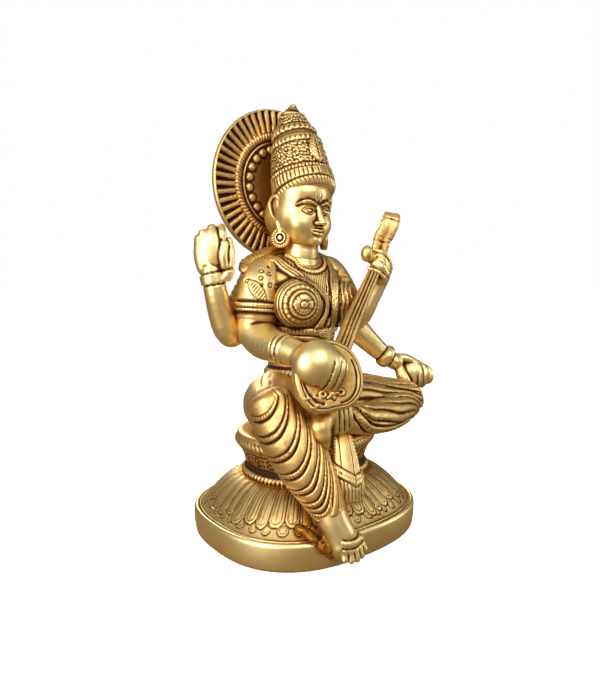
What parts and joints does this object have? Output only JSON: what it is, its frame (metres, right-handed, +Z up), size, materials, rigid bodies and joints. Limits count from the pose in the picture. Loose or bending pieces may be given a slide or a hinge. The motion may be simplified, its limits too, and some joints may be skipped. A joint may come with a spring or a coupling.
{
  "type": "cast brass saraswati figure",
  "caption": "Cast brass figurine of a seated four-armed goddess playing a veena, with a round halo behind the head and an oval lotus base.",
  "frame": {"origin": "centre of the oval base's flat underside", "axes": "+Z up from the underside to the crown's tip, the figure faces -Y, +X is the figure's left"},
  "size_m": [0.0938, 0.0744, 0.1497],
  "materials": {
    "brass": "polished high parts over dark brown patina in the recesses"
  },
  "bodies": {
    "root": {"saraswati_figure": "brass"}
  },
  "joints": []
}
